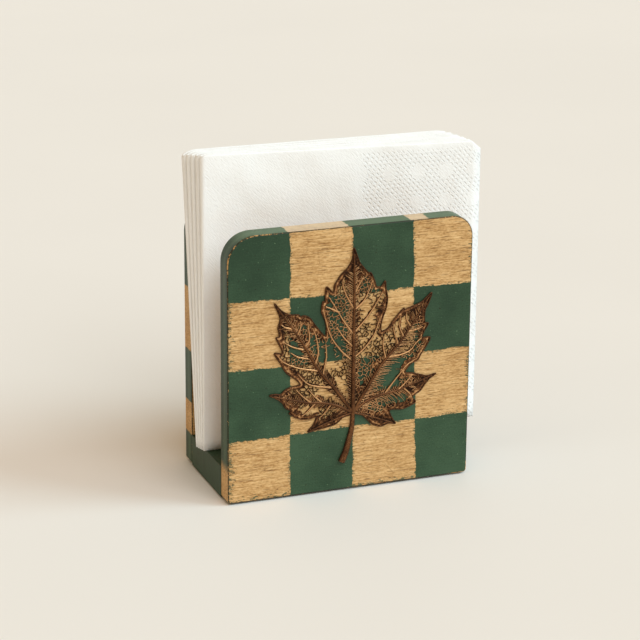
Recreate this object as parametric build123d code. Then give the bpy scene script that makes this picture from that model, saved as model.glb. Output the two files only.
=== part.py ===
from build123d import *
import math
import os

# A wooden napkin holder: two upright panels on a low base with a shallow drawer, and its napkins.
# Millimetres. X runs along the slot, Y from the front panel to the back one, Z up from the table.

# Upright panels
PANEL_WIDTH = 143.0
PANEL_HEIGHT = 152.0
PANEL_THICKNESS = 12.0
PANEL_LEFT_CORNER = 16.0
PANEL_RIGHT_CORNER = 12.5
PANEL_FOOT_CORNER = 2.0
PANEL_EASE = 1.0
SLOT_DEPTH = 51.0

# Base between the panels
FELT_THICKNESS = 1.0
FELT_SETBACK = 3.0
FLOOR_THICKNESS = 2.5
BAY_HEIGHT = 12.2
SHELF_THICKNESS = 3.5
END_BLOCK_LENGTH = 14.0
TONGUE_DEPTH = 3.0
GLUE_GAP = 0.1
DOWEL_DIAMETER = 5.0
DOWEL_PITCH = 9.0
DOWEL_IN_PANEL = 8.0
DOWEL_IN_BLOCK = 10.0
DOWEL_FIT = 0.05
DOWEL_END_ROOM = 0.4

# Drawer
DRAWER_FRONT_THICKNESS = 9.0
DRAWER_WALL = 4.0
DRAWER_BOTTOM_THICKNESS = 2.0
DRAWER_BOTTOM_LAP = 2.0
DRAWER_RABBET = 3.0
DRAWER_SIDE_GAP = 0.4
DRAWER_FLOOR_GAP = 0.2
DRAWER_TOP_GAP = 0.5
DRAWER_END_GAP = 1.5
DRAWER_SHUT_GAP = 0.2
DRAWER_FRONT_LIFT = 0.4
DRAWER_EASE = 0.6
STOP_DROP = 2.0
STOP_LENGTH = 6.0
STOP_SETBACK = 24.0
BRAD_DIAMETER = 1.2
BRAD_LENGTH = 10.0
BRAD_PITCH = 4.0
BRAD_FIT = 0.04

# Knob and its screw
KNOB_LENGTH = 10.5
KNOB_DIAMETER = 10.0
KNOB_NECK_DIAMETER = 5.5
KNOB_FOOT_DIAMETER = 7.0
KNOB_FOOT_LENGTH = 1.2
KNOB_CROWN_LENGTH = 4.5
SCREW_DIAMETER = 2.8
SCREW_HEAD_DIAMETER = 5.4
SCREW_IN_KNOB = 5.5
SCREW_FIT = 0.08
SCREW_END_ROOM = 0.5

# Bronze maple leaf on the front panel
LEAF_LENGTH = 94.8
LEAF_NODE_OFFSET = 1.2
LEAF_NODE_HEIGHT = 45.0
LEAF_THICKNESS = 1.2
LEAF_RELIEF = 1.2
LEAF_RIM = 2.4
MAIN_VEIN_ROOT = 2.4
MAIN_VEIN_TIP = 1.0
SIDE_VEIN_WIDTH = 1.7
SIDE_VEIN_PITCH = 11.0
SIDE_VEIN_ANGLE = 42.0
SHORTEST_WINDOW = 2.5
LONGEST_WINDOW = 30.0
WINDOW_RAYS = 4
STEM_TOP_WIDTH = 2.4
STEM_END_WIDTH = 4.2
LEAF_PIN_DIAMETER = 2.0
LEAF_PIN_DEPTH = 7.0
LEAF_PIN_FIT = 0.05
LEAF_PIN_END_ROOM = 0.4

# Folded paper napkins, which stand on the shelf and lean on the back panel
NAPKIN_COUNT = 5
NAPKIN_SIZE = 165.0
NAPKIN_FOOT_THICKNESS = 1.4
NAPKIN_GAP = 0.3
NAPKIN_LEAN = 19.0
NAPKIN_OVERHANG = 20.0
NAPKIN_STAGGER = 1.0
NAPKIN_NARROWING = 0.5
NAPKIN_SLANT = 5.0
NAPKIN_SLANT_STEP = 1.0
NAPKIN_FOLD = 1.8

# Leaf outline by lobes, clockwise from the top tip, from the node where the stem joins the blade
TOP_LOBE_RIGHT = [
    (-0.5, 94.8), (1.8, 89.2), (3.5, 85.4), (8.1, 80.0), (9.7, 79.6), (11.8, 75.0), (13.1, 71.3),
    (16.0, 71.3), (18.1, 74.3), (18.6, 70.0), (19.7, 64.2), (18.9, 58.3), (16.8, 52.5), (16.0, 48.3),
]
UPPER_RIGHT_LOBE = [
    (16.6, 45.4), (20.1, 46.7), (23.5, 51.3), (29.3, 57.3), (30.1, 56.5), (34.3, 57.9), (40.1, 60.0),
    (46.0, 64.7), (43.9, 58.3), (42.2, 54.6), (42.2, 48.0), (44.4, 47.1), (41.8, 42.5), (41.0, 39.2),
    (45.6, 38.8), (43.5, 34.2), (40.1, 29.2), (38.5, 26.3), (34.3, 24.6),
]
LOWER_RIGHT_LOBE = [
    (30.8, 20.0), (35.1, 19.0), (40.1, 17.5), (44.3, 16.3), (49.8, 17.1), (46.0, 14.6), (42.6, 10.8),
    (40.2, 7.8), (35.6, 5.0), (37.6, 1.7), (33.5, -0.4), (29.3, -1.5), (24.3, -1.0),
]
FOOT_LOBE_RIGHT = [
    (21.8, -1.7), (23.9, -6.7), (25.8, -9.8), (21.8, -9.0), (16.8, -10.2), (11.8, -8.3), (8.5, -5.0),
    (4.3, -1.2),
]
FOOT_LOBE_LEFT = [
    (0.1, -1.0), (-5.7, -2.2), (-9.9, -5.4), (-15.7, -6.7), (-21.5, -7.5), (-26.5, -8.1), (-23.2, -4.2),
]
LOWER_LEFT_LOBE = [
    (-21.5, 0.0), (-25.7, -0.6), (-31.1, 0.0), (-35.7, 2.5), (-37.5, 4.2), (-36.2, 5.4), (-39.5, 7.5),
    (-41.5, 10.8), (-45.3, 13.8), (-49.0, 15.7), (-45.7, 16.2), (-42.4, 15.8), (-39.9, 17.9),
    (-36.5, 19.2),
]
UPPER_LEFT_LOBE = [
    (-31.2, 19.9), (-33.2, 22.9), (-37.0, 25.8), (-39.9, 28.8), (-42.4, 33.3), (-46.2, 39.6),
    (-41.5, 39.2), (-42.8, 43.3), (-45.2, 48.4), (-43.2, 48.8), (-44.0, 54.2), (-42.8, 59.2),
    (-46.2, 68.0), (-42.4, 63.8), (-37.4, 60.8), (-32.4, 60.2), (-31.1, 59.0), (-29.0, 59.3),
    (-25.7, 57.5), (-21.5, 51.7),
]
TOP_LOBE_LEFT = [
    (-16.5, 46.3), (-16.1, 51.7), (-17.4, 56.7), (-19.0, 60.8), (-18.2, 66.3), (-17.0, 65.8),
    (-16.3, 74.3), (-12.0, 70.4), (-11.5, 75.0), (-7.4, 80.8), (-4.5, 83.3), (-2.4, 86.3), (-1.1, 89.2),
]
LOBES = [
    TOP_LOBE_RIGHT, UPPER_RIGHT_LOBE, LOWER_RIGHT_LOBE, FOOT_LOBE_RIGHT,
    FOOT_LOBE_LEFT, LOWER_LEFT_LOBE, UPPER_LEFT_LOBE, TOP_LOBE_LEFT,
]

# Main veins, each from the node to the tip of its lobe, and the stem below
MIDRIB = [(0.0, 0.0), (0.1, 16.7), (0.0, 41.7), (0.1, 66.7), (-0.3, 90.0)]
UPPER_LEFT_VEIN = [(0.0, 0.0), (-10.7, 15.0), (-20.7, 27.5), (-30.7, 45.0), (-44.6, 65.4)]
UPPER_RIGHT_VEIN = [(0.0, 0.0), (13.5, 21.7), (19.3, 29.2), (28.5, 39.2), (44.4, 62.3)]
LOWER_LEFT_VEIN = [(0.0, 0.0), (-9.0, 5.0), (-18.2, 7.9), (-27.4, 9.2), (-46.6, 14.9)]
LOWER_RIGHT_VEIN = [(0.0, 0.0), (6.8, 5.0), (16.0, 8.3), (26.8, 10.0), (47.2, 16.2)]
FOOT_LEFT_VEIN = [(0.0, 0.0), (-10.0, -2.6), (-24.4, -7.4)]
FOOT_RIGHT_VEIN = [(0.0, 0.0), (10.0, -3.4), (24.2, -9.0)]
MAIN_VEINS = [
    MIDRIB, UPPER_LEFT_VEIN, UPPER_RIGHT_VEIN, LOWER_LEFT_VEIN, LOWER_RIGHT_VEIN,
    FOOT_LEFT_VEIN, FOOT_RIGHT_VEIN,
]
PINNED_VEINS = [MIDRIB, UPPER_LEFT_VEIN, UPPER_RIGHT_VEIN]
STEM = [(0.0, 1.0), (-0.5, -8.3), (-2.0, -15.0), (-4.0, -22.5), (-6.5, -28.3)]

# Places that several pieces share
left = -PANEL_WIDTH / 2
right = PANEL_WIDTH / 2
slot_front = -SLOT_DEPTH / 2
slot_back = SLOT_DEPTH / 2
front_face = slot_front - PANEL_THICKNESS
back_face = slot_back + PANEL_THICKNESS
foot = FELT_THICKNESS
floor_top = foot + FLOOR_THICKNESS
bay_top = floor_top + BAY_HEIGHT
base_top = bay_top + SHELF_THICKNESS
panel_top = foot + PANEL_HEIGHT
block_end = left + END_BLOCK_LENGTH
front_seat = right - DRAWER_FRONT_THICKNESS
mouth = front_seat - DRAWER_SHUT_GAP
dowel_x = (left + block_end) / 2
dowel_z = (foot + base_top) / 2


def slab(x, y, z):
    """A box given by its low and high value along each axis."""
    size = [high - low for low, high in (x, y, z)]
    middle = [(high + low) / 2 for low, high in (x, y, z)]
    return Pos(*middle) * Box(*size)


def rod(start, direction, radius, length):
    """A round rod from a point along a direction."""
    base = Plane(origin=start, z_dir=direction)
    return base * Cylinder(radius, length, align=(Align.CENTER, Align.CENTER, Align.MIN))


def dowel_places():
    """Both dowels of one panel, one above the other in the end block."""
    return [(dowel_x, dowel_z - DOWEL_PITCH / 2), (dowel_x, dowel_z + DOWEL_PITCH / 2)]


def panel(rear, inner, outward):
    """An upright panel with eased edges, grooved for the shelf, rabbeted for the floor, bored for dowels."""
    outline = FilletPolyline(
        (left, foot), (right, foot), (right, panel_top), (left, panel_top),
        radius=[PANEL_FOOT_CORNER, PANEL_FOOT_CORNER, PANEL_RIGHT_CORNER, PANEL_LEFT_CORNER],
        close=True,
    )
    upright = Plane(origin=(0, rear, 0), x_dir=(1, 0, 0), z_dir=(0, -1, 0))
    board = extrude(upright * make_face(outline), PANEL_THICKNESS)
    board = fillet(board.faces().filter_by(Axis.Y).edges(), PANEL_EASE)
    depth = sorted([inner, inner + outward * TONGUE_DEPTH])
    run = (block_end, mouth + GLUE_GAP)
    board -= slab(run, depth, (bay_top, base_top + GLUE_GAP))
    board -= slab(run, depth, (foot, floor_top + GLUE_GAP))
    for x, z in dowel_places():
        board -= rod((x, inner, z), (0, outward, 0), DOWEL_DIAMETER / 2 + DOWEL_FIT,
                     DOWEL_IN_PANEL + DOWEL_END_ROOM)
    return board


def tongued_board(low, high):
    """A board across the slot whose long edges sit in both panels."""
    reach = TONGUE_DEPTH - GLUE_GAP
    return slab((block_end, mouth), (slot_front - reach, slot_back + reach), (low, high))


def end_block():
    """The solid left end of the base, bored for the dowels."""
    block = slab((left, block_end), (slot_front, slot_back), (foot, base_top))
    for x, z in dowel_places():
        for inner, inward in ((slot_front, 1), (slot_back, -1)):
            block -= rod((x, inner, z), (0, inward, 0), DOWEL_DIAMETER / 2 + DOWEL_FIT,
                         DOWEL_IN_BLOCK + DOWEL_END_ROOM)
    return block


def panel_dowels():
    """The dowels between the end block and the panels."""
    length = DOWEL_IN_PANEL + DOWEL_IN_BLOCK
    dowels = []
    for x, z in dowel_places():
        for inner, outward in ((slot_front, -1), (slot_back, 1)):
            start = (x, inner - outward * DOWEL_IN_BLOCK, z)
            dowels.append(rod(start, (0, outward, 0), DOWEL_DIAMETER / 2, length))
    return Compound(dowels)


# Leaf pieces, drawn flat about the node and then stood on the front panel
leaf_scale = LEAF_LENGTH / TOP_LOBE_RIGHT[0][1]
leaf_plane = Plane(origin=(LEAF_NODE_OFFSET, front_face, foot + LEAF_NODE_HEIGHT),
                   x_dir=(1, 0, 0), z_dir=(0, -1, 0))


def leaf_points(points):
    """Points of the leaf at its set length."""
    return [Vector(x * leaf_scale, y * leaf_scale) for x, y in points]


def strip(points, start_width, end_width):
    """A flat strip along a path, tapered from its start to its end."""
    lengths = [0.0]
    for a, b in zip(points, points[1:]):
        lengths.append(lengths[-1] + (b - a).length)
    near_side = []
    far_side = []
    for i, point in enumerate(points):
        along = points[min(i + 1, len(points) - 1)] - points[max(i - 1, 0)]
        across = Vector(-along.Y, along.X).normalized()
        share = lengths[i] / lengths[-1]
        half = (start_width + (end_width - start_width) * share) / 2
        near_side.append(point + across * half)
        far_side.append(point - across * half)
    return make_face(Polyline(*near_side, *reversed(far_side), close=True))


def ray_length(start, direction, edges):
    """How far a ray runs before it meets one of the edges."""
    nearest = math.inf
    for a, b in edges:
        edge = b - a
        gap = a - start
        turn = direction.X * edge.Y - direction.Y * edge.X
        if turn == 0:
            continue
        ahead = (gap.X * edge.Y - gap.Y * edge.X) / turn
        across = (gap.X * direction.Y - gap.Y * direction.X) / turn
        if ahead > 0 and 0 <= across <= 1:
            nearest = min(nearest, ahead)
    return nearest


def windows(points, edges):
    """The openwork beside a main vein: slanted windows, with a side vein left between neighbours."""
    path = Polyline(*points)
    bar = SIDE_VEIN_WIDTH / 2 / math.sin(math.radians(SIDE_VEIN_ANGLE))
    width = SIDE_VEIN_PITCH - 2 * bar
    faces = []
    for i in range(int(path.length / SIDE_VEIN_PITCH)):
        low = i * SIDE_VEIN_PITCH + bar
        along = path % ((low + width / 2) / path.length)
        for turn in (-1, 1):
            slant = along.rotate(Axis.Z, turn * SIDE_VEIN_ANGLE)
            across = along.rotate(Axis.Z, turn * 90)
            places = [low + width * k / WINDOW_RAYS for k in range(WINDOW_RAYS + 1)]
            starts = [path @ (place / path.length) + across * MAIN_VEIN_ROOT for place in places]
            runs = [ray_length(start, slant, edges) - LEAF_RIM for start in starts]
            if min(runs) > SHORTEST_WINDOW and max(runs) < LONGEST_WINDOW:
                ends = [start + slant * run for start, run in zip(starts, runs)]
                faces.append(make_face(Polyline(*starts, *reversed(ends), close=True)))
    return faces


def maple_leaf():
    """The blade with its rim, openwork between the veins, raised main veins and stem."""
    outline = [point for lobe in LOBES for point in leaf_points(lobe)]
    seams = [(Vector(0, 0), leaf_points(lobe)[0]) for lobe in LOBES]
    edges = list(zip(outline, outline[1:] + outline[:1])) + seams
    veins = [leaf_points(path) for path in MAIN_VEINS]
    ribs = [strip(path, MAIN_VEIN_ROOT, MAIN_VEIN_TIP) for path in veins]
    ribs.append(strip(leaf_points(STEM), STEM_TOP_WIDTH, STEM_END_WIDTH))
    leaf = extrude(make_face(Polyline(*outline, close=True)), LEAF_THICKNESS)
    for path in veins:
        leaf -= [extrude(window, LEAF_THICKNESS) for window in windows(path, edges)]
    leaf += [extrude(rib, LEAF_THICKNESS + LEAF_RELIEF) for rib in ribs]
    return leaf_plane * leaf


def leaf_pin_places():
    """The middle of each pinned vein, on the front face."""
    return [leaf_plane.from_local_coords(Polyline(*leaf_points(path)) @ 0.5) for path in PINNED_VEINS]


def leaf_pins():
    """The pins behind the leaf."""
    pins = [rod(place, (0, 1, 0), LEAF_PIN_DIAMETER / 2, LEAF_PIN_DEPTH) for place in leaf_pin_places()]
    return Compound(pins)


def front_panel():
    """The front panel, bored for the leaf's pins."""
    board = panel(slot_front, slot_front, -1)
    for place in leaf_pin_places():
        board -= rod(place, (0, 1, 0), LEAF_PIN_DIAMETER / 2 + LEAF_PIN_FIT,
                     LEAF_PIN_DEPTH + LEAF_PIN_END_ROOM)
    return board


# Drawer places
box_front = slot_front + DRAWER_SIDE_GAP
box_back = slot_back - DRAWER_SIDE_GAP
box_end = block_end + DRAWER_END_GAP
box_low = floor_top + DRAWER_FLOOR_GAP
tray_floor = box_low + DRAWER_BOTTOM_THICKNESS
side_top = bay_top - STOP_DROP - DRAWER_TOP_GAP
back_top = bay_top - DRAWER_TOP_GAP
box_reach = front_seat + DRAWER_RABBET
knob_z = (tray_floor + side_top) / 2
stop_end = mouth - STOP_SETBACK
bottom_edge = DRAWER_WALL - DRAWER_BOTTOM_LAP
bottom_y = (box_front + bottom_edge, box_back - bottom_edge)
bottom_z = (box_low, tray_floor)
side_z = (box_low, side_top)
side_walls = {
    "front": (box_front, box_front + DRAWER_WALL),
    "back": (box_back - DRAWER_WALL, box_back),
}


def brads(radius):
    """Brads through the drawer's sides into its back and its front, two at each corner."""
    middle = (tray_floor + side_top) / 2
    nails = []
    for x in (box_end + DRAWER_WALL / 2, front_seat + DRAWER_RABBET / 2):
        for z in (middle - BRAD_PITCH / 2, middle + BRAD_PITCH / 2):
            nails.append(rod((x, box_front, z), (0, 1, 0), radius, BRAD_LENGTH))
            nails.append(rod((x, box_back, z), (0, -1, 0), radius, BRAD_LENGTH))
    return nails


brad_holes = brads(BRAD_DIAMETER / 2 + BRAD_FIT)


def drawer_side(wall):
    """A drawer side, rabbeted along its foot for the bottom."""
    side = slab((box_end, box_reach), side_walls[wall], side_z)
    side -= slab((box_end, box_reach), bottom_y, bottom_z)
    return side - brad_holes


def drawer_front():
    """The drawer front, which closes the right end of the base like the block at the left."""
    front = slab((front_seat, right), (box_front, box_back), (foot + DRAWER_FRONT_LIFT, base_top))
    front = chamfer(front.faces().sort_by(Axis.X)[-1].edges(), DRAWER_EASE)
    for wall in side_walls.values():
        front -= slab((front_seat, box_reach), wall, side_z)
    front -= slab((front_seat, box_reach), bottom_y, bottom_z)
    return front - brad_holes - knob_screw(SCREW_FIT)


def drawer_back():
    """The drawer back, taller than the sides so that the stop strip catches it."""
    back = slab((box_end, box_end + DRAWER_WALL), (box_front + DRAWER_WALL, box_back - DRAWER_WALL),
                (tray_floor, back_top))
    return back - brad_holes


def knob_screw(room=0.0):
    """The countersunk screw from inside the drawer into the knob, or the hole that clears it."""
    shank = SCREW_DIAMETER / 2 + room
    head = SCREW_HEAD_DIAMETER / 2 + room
    length = DRAWER_FRONT_THICKNESS + SCREW_IN_KNOB + (SCREW_END_ROOM if room else 0.0)
    axis = Plane(origin=(front_seat, 0, knob_z), z_dir=(1, 0, 0))
    cone = axis * Cone(head, shank, head - shank, align=(Align.CENTER, Align.CENTER, Align.MIN))
    return rod((front_seat, 0, knob_z), (1, 0, 0), shank, length) + cone


def drawer_knob():
    """A small turned knob with a narrow neck and a rounded crown."""
    foot_r = KNOB_FOOT_DIAMETER / 2
    neck_r = KNOB_NECK_DIAMETER / 2
    crown_r = KNOB_DIAMETER / 2
    crown_z = KNOB_LENGTH - KNOB_CROWN_LENGTH
    dome_z = KNOB_LENGTH - KNOB_CROWN_LENGTH / 2
    profile = Polyline((0, 0), (foot_r, 0), (foot_r, KNOB_FOOT_LENGTH))
    profile += ThreePointArc((foot_r, KNOB_FOOT_LENGTH), (neck_r, (KNOB_FOOT_LENGTH + crown_z) / 2),
                             (foot_r, crown_z))
    profile += ThreePointArc((foot_r, crown_z), (crown_r, dome_z), (foot_r, KNOB_LENGTH))
    profile += Line((foot_r, KNOB_LENGTH), (0, KNOB_LENGTH))
    profile += Line((0, KNOB_LENGTH), (0, 0))
    turned = revolve(Plane.XZ * make_face(profile), Axis.Z)
    knob = Plane(origin=(right, 0, knob_z), z_dir=(1, 0, 0)) * turned
    return knob - knob_screw(SCREW_FIT)


# Napkin places
stack_back_foot = slot_back - NAPKIN_LEAN
lean_height = panel_top - PANEL_EASE - base_top
stack_slope = (NAPKIN_LEAN - NAPKIN_GAP) / lean_height
napkin_foot = base_top + NAPKIN_GAP
napkin_pitch = NAPKIN_FOOT_THICKNESS + NAPKIN_GAP


def napkin(number):
    """One folded napkin of the fan, counted from the front: a wedge that thickens upwards, its top aslant."""
    behind = NAPKIN_COUNT - number
    back_foot = stack_back_foot - behind * napkin_pitch
    front_foot = back_foot - NAPKIN_FOOT_THICKNESS
    back_slope = stack_slope * number / NAPKIN_COUNT
    front_slope = stack_slope * (number - 1) / NAPKIN_COUNT
    width = NAPKIN_SIZE - NAPKIN_NARROWING * (number - 1)
    end = right + NAPKIN_OVERHANG - NAPKIN_STAGGER * (number - 1)
    start = end - width
    left_height = NAPKIN_SIZE + NAPKIN_SLANT - NAPKIN_SLANT_STEP * (number - 1)
    height = max(left_height, NAPKIN_SIZE)
    side = make_face(Polyline(
        (front_foot, napkin_foot), (back_foot, napkin_foot),
        (back_foot + back_slope * height, napkin_foot + height),
        (front_foot + front_slope * height, napkin_foot + height),
        close=True,
    ))
    face = make_face(Polyline(
        (start, napkin_foot), (end, napkin_foot),
        (end, napkin_foot + NAPKIN_SIZE), (start, napkin_foot + left_height),
        close=True,
    ))
    wedge = extrude(Plane(origin=(start, 0, 0), x_dir=(0, 1, 0), z_dir=(1, 0, 0)) * side, width)
    wedge &= extrude(Plane.XZ * face, SLOT_DEPTH, both=True)
    rims = wedge.faces().sort_by(Axis.Z)[-1].edges()
    folds = rims.filter_by(lambda edge: edge.length > width / 2)
    return fillet(folds, NAPKIN_FOLD)


parts = {
    "felt_base": slab(
        (left + DRAWER_FRONT_THICKNESS + FELT_SETBACK, front_seat - FELT_SETBACK),
        (front_face + FELT_SETBACK, back_face - FELT_SETBACK), (0, FELT_THICKNESS)),
    "floor_board": tongued_board(foot, floor_top),
    "shelf_board": tongued_board(bay_top, base_top),
    "left_end_block": end_block(),
    "front_panel": front_panel(),
    "back_panel": panel(back_face, slot_back, 1),
    "panel_dowels": panel_dowels(),
    "drawer_stop_strip": slab((stop_end - STOP_LENGTH, stop_end), (box_front, box_back),
                              (bay_top - STOP_DROP, bay_top)),
    "maple_leaf": maple_leaf(),
    "leaf_pins": leaf_pins(),
    "drawer_front": drawer_front(),
    "drawer_side_front": drawer_side("front"),
    "drawer_side_back": drawer_side("back"),
    "drawer_back": drawer_back(),
    "drawer_bottom": slab((box_end, box_reach), bottom_y, bottom_z),
    "drawer_knob": drawer_knob(),
    "knob_screw": knob_screw(),
    "drawer_brads": Compound(brads(BRAD_DIAMETER / 2)),
}
for number in range(1, NAPKIN_COUNT + 1):
    parts[f"napkin_{number}"] = napkin(number)

os.makedirs("parts", exist_ok=True)
for name, part in parts.items():
    export_step(part, f"parts/{name}.step")
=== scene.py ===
import math

import bmesh
import bpy
import numpy as np
from mathutils import Matrix, Vector
from mathutils.geometry import delaunay_2d_cdt


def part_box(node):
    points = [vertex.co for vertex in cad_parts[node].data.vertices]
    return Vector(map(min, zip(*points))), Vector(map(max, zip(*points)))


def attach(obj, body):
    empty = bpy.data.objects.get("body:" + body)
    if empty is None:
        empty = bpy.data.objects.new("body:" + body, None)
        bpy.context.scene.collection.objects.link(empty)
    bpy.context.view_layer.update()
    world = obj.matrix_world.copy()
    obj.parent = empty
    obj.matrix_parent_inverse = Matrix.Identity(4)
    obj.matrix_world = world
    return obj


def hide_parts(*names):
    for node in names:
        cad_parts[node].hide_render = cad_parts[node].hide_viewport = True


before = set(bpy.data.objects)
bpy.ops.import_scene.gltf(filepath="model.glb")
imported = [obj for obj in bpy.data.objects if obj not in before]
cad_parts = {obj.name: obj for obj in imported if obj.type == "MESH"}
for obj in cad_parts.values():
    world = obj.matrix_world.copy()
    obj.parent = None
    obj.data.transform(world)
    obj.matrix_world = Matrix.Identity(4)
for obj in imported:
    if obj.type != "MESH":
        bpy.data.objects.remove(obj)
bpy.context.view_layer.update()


# Felt under the base: one sheet of dark green wool felt, cut with rounded corners and glued to the
# floor board and the feet of both panels. The holder stands on it, and its cut edge is a little furry.
MM = 0.001
FELT_CORNER = 5 * MM
FELT_BEVEL = 0.2 * MM
FELT_FRAY = 0.12 * MM
FELT_STEP = 0.8 * MM
FELT_CORNER_STEPS = 12
felt_low, felt_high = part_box("felt_base")


def both_sides(operation):
    """The two methods of an operator, with the field at its left and at its right."""
    return (lambda field, other: field.math(operation, field, other),
            lambda field, other: field.math(operation, other, field))


class Field:
    """What a node socket gives. Arithmetic on it adds Math nodes to its tree."""

    __add__, __radd__ = both_sides("ADD")
    __sub__, __rsub__ = both_sides("SUBTRACT")
    __mul__, __rmul__ = both_sides("MULTIPLY")
    __truediv__, __rtruediv__ = both_sides("DIVIDE")
    __pow__, __rpow__ = both_sides("POWER")

    def __init__(self, nodes, socket):
        self.nodes = nodes
        self.socket = socket

    def math(self, operation, *values):
        return self.nodes.node("ShaderNodeMath", {"operation": operation}, dict(enumerate(values)))

    def __neg__(self):
        return self.math("MULTIPLY", self, -1.0)

    def __abs__(self):
        return self.math("ABSOLUTE", self)

    def least(self, other):
        return self.math("MINIMUM", self, other)

    def most(self, other):
        return self.math("MAXIMUM", self, other)

    def rise(self, low, high):
        """0 below low, 1 above high, and a smooth step between them."""
        return self.nodes.node("ShaderNodeMapRange", {"interpolation_type": "SMOOTHSTEP"},
                               {"Value": self, "From Min": low, "From Max": high})


class Nodes:
    """Adds nodes to one tree, of a material or of Geometry Nodes."""

    def __init__(self, tree):
        self.tree = tree

    def node(self, kind, settings=None, sockets=None, out=0):
        made = self.tree.nodes.new(kind)
        for name, value in (settings or {}).items():
            if name == "stops":
                ramp = made.color_ramp.elements
                while len(ramp) < len(value):
                    ramp.new(1.0)
                for stop, (position, colour) in zip(ramp, value):
                    stop.position = position
                    stop.color = colour
            else:
                setattr(made, name, value)
        for name, value in (sockets or {}).items():
            if isinstance(value, Field):
                self.tree.links.new(value.socket, made.inputs[name])
            else:
                made.inputs[name].default_value = value
        return Field(self, made.outputs[out])

    def spot(self, x, y, z):
        return self.node("ShaderNodeCombineXYZ", None, {0: x, 1: y, 2: z})

    def axes(self, vector):
        return [self.node("ShaderNodeSeparateXYZ", None, {0: vector}, out) for out in range(3)]

    def noise(self, x, y, z, detail=2.0, roughness=0.5):
        return self.node("ShaderNodeTexNoise", None,
                         {"Vector": self.spot(x, y, z), "Scale": 1.0, "Detail": detail,
                          "Roughness": roughness})


class Finish(Nodes):
    """One material, with the place and the facing of each point of the piece, in millimetres."""

    def __init__(self, name):
        self.material = bpy.data.materials.new(name)
        self.material.use_nodes = True
        super().__init__(self.material.node_tree)
        self.tree.nodes.clear()
        place = self.axes(self.node("ShaderNodeTexCoord", out="Object"))
        self.x, self.y, self.z = [value * 1000.0 for value in place]
        self.facing_x, self.facing_y, self.facing_z = self.axes(self.node("ShaderNodeTexCoord", out="Normal"))

    def patches(self, per_x, per_y, per_z, detail=2.0, roughness=0.5):
        """Noise over the piece, with so many patches to the millimetre along each axis."""
        return self.noise(self.x * per_x, self.y * per_y, self.z * per_z, detail, roughness)

    def mix(self, share, first, second):
        return self.node("ShaderNodeMix", {"data_type": "RGBA"}, {0: share, 6: first, 7: second}, 2)

    def tones(self, value, stops):
        return self.node("ShaderNodeValToRGB", {"stops": stops}, {0: value})

    def surface(self, colour, roughness, height, relief, fixed=None):
        """The finished material. Relief is how far the height of 1 stands up, in millimetres."""
        bump = self.node("ShaderNodeBump", None, {"Strength": 1.0, "Distance": relief * MM, "Height": height})
        shader = self.node("ShaderNodeBsdfPrincipled", None,
                           {"Base Color": colour, "Roughness": roughness, "Normal": bump, **(fixed or {})})
        output = self.tree.nodes.new("ShaderNodeOutputMaterial")
        self.tree.links.new(shader.socket, output.inputs["Surface"])
        return self.material


def paint(red, green, blue):
    """A colour as it looks on the piece, from 0 to 255, as linear light."""
    shares = [value / 255 for value in (red, green, blue)]
    light = [s / 12.92 if s <= 0.04045 else ((s + 0.055) / 1.055) ** 2.4 for s in shares]
    return (*light, 1.0)


def felt_finish():
    """Dark green wool, matted and a little hairy."""
    felt = Finish("green_felt")
    tuft = felt.patches(2.2, 2.2, 2.2, 4.0, 0.7)
    hair = felt.patches(6.0, 1.5, 6.0, 3.0, 0.6)
    cloud = felt.patches(0.08, 0.08, 0.08)
    tone = tuft * 0.5 + hair * 0.3 + cloud * 0.2
    colour = felt.tones(tone, [(0.32, paint(22, 32, 25)), (0.52, paint(34, 47, 37)),
                               (0.7, paint(54, 68, 54))])
    return felt.surface(colour, 0.96, tuft + hair * 0.6, 0.25,
                        {"Sheen Weight": 0.35, "Sheen Roughness": 0.5})


def felt_sheet():
    """The cut sheet: a rounded outline with a furry edge, softened along both rims."""
    rng = np.random.default_rng(3)
    outline = []
    centres = [(felt_high.x, felt_high.y, 0), (felt_low.x, felt_high.y, 1),
               (felt_low.x, felt_low.y, 2), (felt_high.x, felt_low.y, 3)]
    for corner_x, corner_y, quarter in centres:
        middle_x = corner_x - math.copysign(FELT_CORNER, corner_x)
        middle_y = corner_y - math.copysign(FELT_CORNER, corner_y)
        for k in range(FELT_CORNER_STEPS + 1):
            turn = (quarter + k / FELT_CORNER_STEPS) * math.pi / 2
            outline.append(Vector((middle_x + FELT_CORNER * math.cos(turn),
                                   middle_y + FELT_CORNER * math.sin(turn), 0)))
    points = []
    for a, b in zip(outline, outline[1:] + outline[:1]):
        steps = max(1, round((b - a).length / FELT_STEP))
        for k in range(steps):
            point = a.lerp(b, k / steps)
            inward = Vector((-point.x, -point.y, 0)).normalized()
            points.append(point + inward * FELT_FRAY * rng.random())
    mesh = bmesh.new()
    ring = [mesh.verts.new((p.x, p.y, felt_low.z)) for p in points]
    foot = mesh.faces.new(ring)
    raised = bmesh.ops.extrude_face_region(mesh, geom=[foot])["geom"]
    for item in raised:
        if isinstance(item, bmesh.types.BMVert):
            item.co.z = felt_high.z
    bmesh.ops.recalc_face_normals(mesh, faces=mesh.faces)
    rims = [edge for edge in mesh.edges if abs(edge.verts[0].co.z - edge.verts[1].co.z) < 1e-7]
    bmesh.ops.bevel(mesh, geom=rims, offset=FELT_BEVEL, segments=2, profile=0.5, affect="EDGES")
    data = bpy.data.meshes.new("felt_sheet")
    mesh.to_mesh(data)
    mesh.free()
    return data


def put(name, data):
    """Puts a mesh, a light or a camera into the scene at the origin."""
    made = bpy.data.objects.new(name, data)
    bpy.context.scene.collection.objects.link(made)
    return made


def add_piece(name, data, material):
    """Puts a finished mesh into the scene."""
    data.materials.clear()
    data.materials.append(material)
    return put(name, data)


felt = add_piece("felt_sheet", felt_sheet(), felt_finish())
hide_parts("felt_base")
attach(felt, "holder")


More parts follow.
